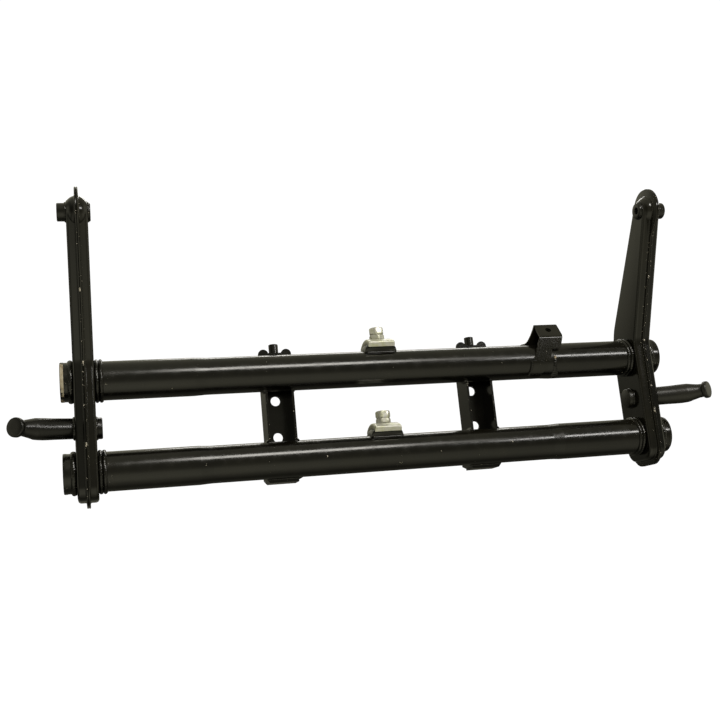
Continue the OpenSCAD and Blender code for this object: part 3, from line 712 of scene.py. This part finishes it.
for side, s in SIDES:
    bm = bmesh.new()
    add_loft(bm, horn_rings(s))
    add_lathe(bm, Vector((s * STUB_X, TY + STUB_Y, STUB_Z)), Vector((s, 0, 0)),
              [(0.0, 0.0004), (0.0, STUB_R - 0.0018), (0.0005, STUB_R - 0.0007), (0.0016, STUB_R), (0.018, STUB_R)], 72)
    painted_piece(f"{side}_horn_forging", bm, m_horn_dull if side == "right" else m_horn, (f"{side}_bump_horn",),
                  smooth=50)
    u = (Vector((0, 0, 1)) - BAR_WAY * BAR_WAY.z).normalized()
    v = BAR_WAY.cross(u)
    bm = bmesh.new()
    pts, ups = [], []
    for i in range(130):
        t = 2 * math.pi * i / 130
        e = u * math.cos(t) + v * math.sin(t)
        q = ROOT + e * 0.0168
        q = q + BAR_WAY * ((FACE_OUT + 0.0004 - q.x) / BAR_WAY.x)
        pts.append(Vector((s * q.x, q.y + TY, q.z)))
        ups.append(Vector((s * e.x, e.y, e.z)))
    add_bead(bm, pts, 0.0030, closed=True, pitch=0.0042, seed=21 + s, up=ups, flat=0.8)
    ring, dirs = circle_x(s * (FACE_IN - 0.0004), TY + STUB_Y, STUB_Z, STUB_R + 0.0002, 120)
    add_bead(bm, ring, 0.0020, closed=True, pitch=0.0040, seed=22 + s, up=dirs)
    painted_piece(f"{side}_horn_welds", bm, m_weld)

# ---------------------------------------------------------------- frame brackets

CHANNEL_HALF = 0.025
THREAD_PITCH, THREAD_CORE, THREAD_R = 0.0015, 0.00435, 0.0050


def add_tube_bead(bm, x, way, z, start, end, count, proud, r, pitch, seed):
    """A bead round a tube from start to end degrees, on the way side of a plate at x."""
    pts, ups = [], []
    for i in range(count):
        a = math.radians(start + (end - start) * i / (count - 1))
        e = Vector((0, math.cos(a), math.sin(a)))
        pts.append(Vector((x + way * proud, TY, z)) + e * (MID_R + proud))
        ups.append((e + Vector((way * 0.9, 0, 0))).normalized())
    add_bead(bm, pts, r, pitch=pitch, seed=seed, up=ups)


for side, s in SIDES:
    bevel_copy(f"{side}_frame_bracket", f"{side}_channel_bracket", 0.0013, 3, m_bracket)
    boss = mid(f"{side}_body_boss")
    bm = bmesh.new()
    k = 0
    for way in (-1, 1):
        x = boss.x + way * CHANNEL_HALF
        # where the channel's side meets each tube between the tubes, and over the top of the upper one
        for z, start, end in ((upper_c.z, -108, -8), (lower_c.z, 8, 108)):
            add_tube_bead(bm, x, way, z, start, end, 46, 0.0006, 0.0034, 0.0040, 40 + k + 9 * s)
            k += 1
        add_tube_bead(bm, x, way, upper_c.z, 20, 82, 30, 0.0004, 0.0024, 0.0036, 60 + k + 9 * s)
    # foot plate against the lower tube, and the eared plate against the upper one
    for y, z, half, seed in ((TY + 0.0056, lower_c.z - 0.0312, 0.029, 71),
                             (TY + 0.0070, upper_c.z + 0.0308, 0.028, 72)):
        pts = [Vector((boss.x - half + 2 * half * i / 60, y, z)) for i in range(61)]
        add_bead(bm, pts, 0.0017, pitch=0.0034, seed=seed + s, up=[Vector((0, -1, 0.4))] * 61)
    painted_piece(f"{side}_bracket_welds", bm, m_bead)

    # body mount boss: chamfered, with threads cut in its bore
    lo, hi = lo_hi(f"{side}_body_boss")
    r, top = (hi.x - lo.x) / 2, hi.z
    prof = [(top - 0.031, r - 0.0002), (top - 0.0215, r), (top - 0.0010, r), (top - 0.0003, r - 0.0005),
            (top, r - 0.0014), (top, THREAD_R + 0.0004), (top - 0.0008, THREAD_R)]
    z = top - 0.0008
    while z > top - 0.020:
        prof += [(z - THREAD_PITCH * 0.3, THREAD_CORE), (z - THREAD_PITCH * 0.8, THREAD_R)]
        z -= THREAD_PITCH
    prof += [(top - 0.0218, 0.0042), (top - 0.022, 0.0005)]
    bm = bmesh.new()
    add_lathe(bm, Vector((boss.x, boss.y, 0.0)), Vector((0, 0, 1)), prof, 64)
    painted_piece(f"{side}_threaded_boss", bm, m_boss, (f"{side}_body_boss",))

# ---------------------------------------------------------------- steering damper bracket

DAMPER_TOP = lo_hi("damper_bracket")[1].z
FOLD_HEIGHTS = (DAMPER_TOP - 0.028, DAMPER_TOP)


def is_fold(e):
    a, b = e.verts[0].co, e.verts[1].co
    along = abs(a.x - b.x) > 0.035 and abs(a.y - b.y) < 1e-5 and abs(a.z - b.z) < 1e-5
    return along and any(abs(a.z - z) < 0.0004 for z in FOLD_HEIGHTS)


bevel_copy("damper_bracket", "damper_pressing", 0.0006, 2, m_damper, is_fold, 0.0030)
bevel_copy("damper_weld_nut", "damper_nut", 0.0007, 2, m_damper)

# ---------------------------------------------------------------- ride-height adjusters

HEX_FLATS = 0.024
HEX_SEG = 72
SECTOR_STEPS = 60
SADDLE_HALF, SLOT_HALF, CLAMP_HALF = 33.0, 26.5, 36.0  # degrees
SLOT_WIDE = 0.0091
SADDLE_ROUND, CLAMP_ROUND = 0.0072, 0.0032
SCREW_CORE, SCREW_R, SCREW_PITCH, HEAD_TALL = 0.0070, 0.0079, 0.0020, 0.012
HEX_TURNS = {"upper": (1.5, 40.0), "lower": (30.0, 30.0)}  # degrees, of the locknut and of the screw's head


def add_hex(bm, c, z0, z1, turn):
    """A hexagon with turned chamfers at both ends and a dished top: at each height it is cut by a cone."""
    corner, cone = HEX_FLATS / math.sqrt(3), HEX_FLATS / 2 * 0.97

    def ring(z, reach):
        pts = []
        for i in range(HEX_SEG):
            a = 2 * math.pi * i / HEX_SEG
            local = (math.degrees(a) + 30) % 60 - 30
            r = min(HEX_FLATS / 2 / math.cos(math.radians(local)), reach, corner - 0.00035)
            pts.append(c + Vector((math.cos(a + turn) * r, math.sin(a + turn) * r, z)))
        return pts

    rings = []
    for t in (0.0, 0.06, 0.12, 0.2, 0.8, 0.88, 0.94, 1.0):
        rings.append(ring(z0 + (z1 - z0) * t, cone + (corner - cone) * min(t, 1 - t) / 0.25 * 1.05))
    rings += [ring(z1, HEX_FLATS * 0.42), ring(z1 - 0.0006, HEX_FLATS * 0.36)]
    add_loft(bm, rings)


def add_sector(bm, centre, loop, half, soft, slot=None):
    """Sweeps a closed loop of (x, radius) about X from -half to half degrees of the upward direction. The last
    soft degrees draw in a little. Slot is (half degrees, i, j): within them the sides of the loop that start at
    its points i and j are left open, with walls between."""
    low = min(r for _x, r in loop)
    angles = {-half + 2 * half * k / SECTOR_STEPS for k in range(SECTOR_STEPS + 1)}
    slot_half, i0, j0 = slot or (0.0, 0, 0)
    if slot:
        angles |= {-slot_half, slot_half}
    angles = sorted(angles)
    rings = []
    for a in angles:
        f = 1.0
        if half - abs(a) < soft:
            u = 1 - (half - abs(a)) / soft
            f = 1 - 0.30 * (1 - math.sqrt(max(0.0, 1 - u * u)))
        t = math.radians(a)
        rings.append([centre + Vector((x, -math.sin(t) * (low + (r - low) * f), math.cos(t) * (low + (r - low) * f)))
                      for x, r in loop])
    rows = new_rows(bm, rings)
    n = len(loop)
    i1, j1 = (i0 + 1) % n, (j0 + 1) % n
    for k, (a, b) in enumerate(zip(rows, rows[1:])):
        inside = slot and angles[k] > -slot_half - 1e-6 and angles[k + 1] < slot_half + 1e-6
        for i in range(n):
            if not (inside and i in (i0, j0)):
                j = (i + 1) % n
                bm.faces.new((a[i], a[j], b[j], b[i]))
        if inside:
            bm.faces.new((a[i0], b[i0], b[j1], a[j1]))
            bm.faces.new((a[i1], b[i1], b[j0], a[j0]))
    if slot:
        for row in (rows[angles.index(-slot_half)], rows[angles.index(slot_half)]):
            bm.faces.new((row[i0], row[i1], row[j0], row[j1]))
    bm.faces.new(rows[0])
    bm.faces.new(rows[-1])


for level, zc in TUBES:
    body = UPPER if level == "upper" else LOWER
    slo, shi = lo_hi(f"{level}_set_screw")
    blo, bhi = lo_hi(f"{level}_adjuster_base")
    plo, phi = lo_hi(f"{level}_clamp_plate")
    nut_top = lo_hi(f"{level}_locknut")[1].z
    c = Vector(((plo.x + phi.x) / 2, TY, 0.0))
    axis = Vector((c.x, TY, zc))
    nut_turn, head_turn = (math.radians(a) for a in HEX_TURNS[level])

    # saddle: rounded over both long edges, with the slot in the middle
    half_l, top, foot = (bhi.x - blo.x) / 2, bhi.z - zc, MID_R - 0.0002
    edge = [(half_l - SADDLE_ROUND * (1 - math.cos(math.radians(a))),
             MID_R + (top - MID_R) * math.sin(math.radians(a))) for a in range(10, 91, 10)]
    loop = [(-SLOT_WIDE, foot), (SLOT_WIDE, foot), (half_l, foot)] + edge
    k = len(loop)
    loop += [(SLOT_WIDE, top), (-SLOT_WIDE, top)] + [(-x, r) for x, r in reversed(edge)] + [(-half_l, foot)]
    bm = bmesh.new()
    add_sector(bm, axis, loop, SADDLE_HALF, soft=5.0, slot=(SLOT_HALF, 0, k))
    painted_piece(f"{level}_saddle", bm, m_base, (f"{level}_adjuster_base",), smooth=50)

    # clamp plate
    r0, r1, h, e = bhi.z - zc + 0.00005, phi.z - zc, (phi.x - plo.x) / 2, CLAMP_ROUND
    loop = [(-h + 0.0010, r0), (h - 0.0010, r0), (h - 0.0003, r0 + 0.0003), (h, r0 + 0.0012)]
    corner = [(math.cos(math.radians(a)), math.sin(math.radians(a))) for a in range(0, 91, 15)]
    loop += [(h - e + e * x, r1 - e + e * r) for x, r in corner]
    loop += [(-h + e - e * r, r1 - e + e * x) for x, r in corner]
    loop += [(-h, r0 + 0.0012), (-h + 0.0003, r0 + 0.0003)]
    bm = bmesh.new()
    add_sector(bm, axis, loop, CLAMP_HALF, soft=4.0)
    finish_mesh(f"{level}_clamp", bm, m_zinc, body, (f"{level}_clamp_plate",), smooth=50)

    # locknut, and the screw with its thread
    bm = bmesh.new()
    add_hex(bm, c, phi.z - 0.0006, nut_top, nut_turn)
    finish_mesh(f"{level}_nut", bm, m_zinc, body, (f"{level}_locknut",))
    bm = bmesh.new()
    head_low = shi.z - HEAD_TALL
    add_hex(bm, c, head_low, shi.z, head_turn)
    z = slo.z + 0.0016
    prof = [(slo.z, 0.0060), (z, SCREW_R)]
    while z < head_low - 0.0018:
        prof += [(z + 0.0008, SCREW_CORE), (z + 0.0018, SCREW_R)]
        z += SCREW_PITCH
    add_lathe(bm, c, Vector((0, 0, 1)), prof + [(head_low + 0.001, SCREW_R)], 48)
    finish_mesh(f"{level}_screw", bm, m_zinc_head, body, (f"{level}_set_screw",))

    # welds along both long edges of the saddle
    bm = bmesh.new()
    for k, a in enumerate((57.0, 123.0)):
        e = Vector((0, math.cos(math.radians(a)), math.sin(math.radians(a))))
        side_way = Vector((0, e.z, -e.y)) * (1 if k == 0 else -1)
        line = [axis + Vector((-0.0265 + 0.053 * i / 60, 0, 0)) + e * (MID_R + 0.0003) + side_way * 0.0006
                for i in range(61)]
        add_bead(bm, line, 0.0022, seed=80 + k, up=[(e + side_way).normalized()] * 61)
    painted_piece(f"{level}_saddle_welds", bm, m_bead)

# ---------------------------------------------------------------- welds of the damper bracket

def on_upper_tube(x, below, proud):
    """A place on the upper tube, below its front by that many degrees, and the way out of the tube there."""
    a = math.radians(180 + below)
    e = Vector((0, math.cos(a), math.sin(a)))
    return Vector((x, TY, upper_c.z)) + e * (MID_R + proud), e


def add_foot_bead(bm, n, x, x_run, below, below_run, proud, r, seed, flat=0.75):
    """A bead down the front of the upper tube."""
    line = [on_upper_tube(x + x_run * i / n, below + below_run * i / n, proud) for i in range(n + 1)]
    add_bead(bm, [p for p, _e in line], r, seed=seed, up=[e for _p, e in line], flat=flat)


# a bare bead in front that broadens downwards
bm = bmesh.new()
add_foot_bead(bm, 40, 0.3272, -0.0008, -6, 34, 0.0012, [0.0022 + 0.0010 * i / 40 for i in range(41)], 90)
painted_piece("damper_bare_weld", bm, m_rusty)

# painted ones under it, at the other foot and along the rear leg
bm = bmesh.new()
add_foot_bead(bm, 50, 0.3262, 0.0035, 22, 50, 0.0006, [0.0030 + 0.0042 * i / 50 for i in range(51)], 92, flat=0.5)
add_foot_bead(bm, 50, 0.2825, -0.0040, 8, 54, 0.0012, 0.0030, 93, flat=0.7)
pts = [Vector((0.276 + 0.068 * i / 60, TY + 0.0012, upper_c.z + MID_R + 0.0006)) for i in range(61)]
add_bead(bm, pts, 0.0024, seed=91, up=[Vector((0, 0.4, 1)).normalized()] * 61)
painted_piece("damper_welds", bm, m_bead)

# ---------------------------------------------------------------- stage, lights, camera

LEAN = math.radians(21)  # how far the studio leans with the view
UP = Vector((0, -math.sin(LEAN), math.cos(LEAN)))
BACK = Vector((0, -math.cos(LEAN), -math.sin(LEAN)))
FLOOR_DROP = 0.55
LIGHT_DISTANCE = 3.0


def stage_mesh(name, bm, mat):
    me = bpy.data.meshes.new(name)
    bm.to_mesh(me)
    bm.free()
    me.materials.append(mat)
    ob = bpy.data.objects.new(name, me)
    bpy.context.scene.collection.objects.link(ob)
    ob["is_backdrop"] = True
    return ob


m, n = new_mat("pale_floor")
em = n.add("ShaderNodeEmission", {"Color": rgb(1, 1, 1), "Strength": 0.86})
df = n.add("ShaderNodeBsdfDiffuse", {"Color": rgb(0.6, 0.6, 0.62)})
both = n.add("ShaderNodeAddShader", {0: em.outputs[0], 1: df.outputs[0]})
n.add("ShaderNodeOutputMaterial", {"Surface": both.outputs[0]})
bm = bmesh.new()
bmesh.ops.create_circle(bm, cap_ends=True, segments=96, radius=30.0,
                        matrix=Matrix.Translation((0, 0, cad_lo[2] - FLOOR_DROP)))
floor = stage_mesh("floor", bm, m)
floor.visible_glossy = False
floor.visible_diffuse = False

m, n = new_mat("white_backdrop")
em = n.add("ShaderNodeEmission", {"Color": rgb(1, 1, 1), "Strength": 1.05})
n.add("ShaderNodeOutputMaterial", {"Surface": em.outputs[0]})
bm = bmesh.new()
bmesh.ops.create_icosphere(bm, subdivisions=4, radius=28.0)
dome = stage_mesh("backdrop", bm, m)
dome.visible_glossy = False
dome.visible_diffuse = False
dome.visible_shadow = False
dome.visible_transmission = False

world = bpy.data.worlds.new("studio")
bpy.context.scene.world = world
world.use_nodes = True
n = Nodes(world.node_tree)
gen = n.add("ShaderNodeTexCoord").outputs["Generated"]


def dot(v):
    return n.add("ShaderNodeVectorMath", {0: gen, 1: tuple(v)}, operation="DOT_PRODUCT").outputs["Value"]


def half_range(v):
    """From -1..1 to 0..1."""
    return n.add("ShaderNodeMath", {0: v, 1: 0.5, 2: 0.5}, operation="MULTIPLY_ADD").outputs[0]


def ramp(fac, stops):
    r = n.add("ShaderNodeValToRGB", {"Fac": fac})
    el = r.color_ramp.elements
    while len(el) < len(stops):
        el.new(0.5)
    for e, (p, c) in zip(el, stops):
        e.position = p
        e.color = rgb(*c)
    return r.outputs["Color"]


def grey(v):
    """A slightly warm grey."""
    return (v * 1.033, v, v * 0.758)


# the studio's brightness by height, behind the beam and on the camera's side, and then by the way across
elev = half_range(dot(UP))
behind = ramp(elev, [(p, grey(v)) for p, v in (
    (0.0, 0.10), (0.30, 0.10), (0.40, 0.11), (0.46, 0.34), (0.52, 0.55), (0.80, 0.50), (1.0, 0.40))])
ahead = ramp(elev, [(p, grey(v)) for p, v in (
    (0.0, 0.20), (0.06, 0.34), (0.14, 0.62), (0.22, 0.72), (0.40, 0.64), (0.50, 0.36), (0.58, 0.24), (0.74, 0.20),
    (0.84, 0.28), (0.93, 0.42), (1.0, 0.40))])
col = n.mix(n.band(dot(BACK), -0.05, 0.40), behind, ahead)
sides = ramp(half_range(dot(Vector((1, 0, 0)))), [(p, (v, v, v)) for p, v in (
    (0.0, 1.1), (0.03, 1.0), (0.08, 0.40), (0.14, 0.45), (0.24, 1.0), (0.50, 1.0), (0.66, 0.78), (0.78, 0.55),
    (0.90, 0.60), (0.96, 1.2), (1.0, 1.4))])
sky = n.add("ShaderNodeBackground", {"Color": col, "Strength": sides})
n.add("ShaderNodeOutputWorld", {"Surface": sky.outputs[0]})


def area(name, at, look, size, power, color):
    ld = bpy.data.lights.new(name, "AREA")
    ld.shape = "RECTANGLE"
    ld.size, ld.size_y = size
    ld.energy = power
    ld.color = color
    ob = bpy.data.objects.new(name, ld)
    ob.location = at
    ob.rotation_mode = "QUATERNION"
    ob.rotation_quaternion = (Vector(at) - Vector(look)).to_track_quat("Z", "Y")
    ob.visible_camera = False
    bpy.context.scene.collection.objects.link(ob)
    return ob


def off_tube(x, angle):
    """A place at an angle above the front of the upper tube."""
    a = math.radians(angle)
    return (x, TY - LIGHT_DISTANCE * math.cos(a), upper_c.z + LIGHT_DISTANCE * math.sin(a))


area("strip_a", off_tube(0.43, 33.0), (0.43, TY, upper_c.z), (1.05, 0.72), 30, (1.0, 0.97, 0.90))
area("strip_b", off_tube(1.25, 31.0), (1.00, TY, upper_c.z), (0.50, 0.60), 2.0, (1.0, 0.97, 0.90))
area("strip_c", off_tube(2.30, 21.3), (1.60, TY, upper_c.z), (1.40, 0.44), 30, (1.0, 0.98, 0.94))
area("strip_rear", off_tube(0.7, 132.0), (0.2, TY, 0.0), (1.8, 0.5), 14, (1.0, 0.98, 0.94))
overhead = area("overhead", (0.1, -0.6, 2.4), (0, 0, 0), (1.6, 1.2), 5, (1.0, 0.98, 0.90))
overhead.visible_glossy = False

CAMERA_AT = Vector((-0.49139, -1.71501, -0.25790))
FORWARD = Vector((0.259003, 0.945438, 0.197646))
CAMERA_UP = Vector((0.040327, -0.215036, 0.975773))
RIGHT = FORWARD.cross(CAMERA_UP)
cd = bpy.data.cameras.new("camera")
cd.sensor_width = 36.0
cd.lens = 50.10
cam = bpy.data.objects.new("camera", cd)
rows = [(r, u, -f, at) for r, u, f, at in zip(RIGHT, CAMERA_UP, FORWARD, CAMERA_AT)]
cam.matrix_world = Matrix(rows + [(0, 0, 0, 1)])
bpy.context.scene.collection.objects.link(cam)
bpy.context.scene.camera = cam
bpy.context.scene.view_settings.view_transform = "Standard"

lo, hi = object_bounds()
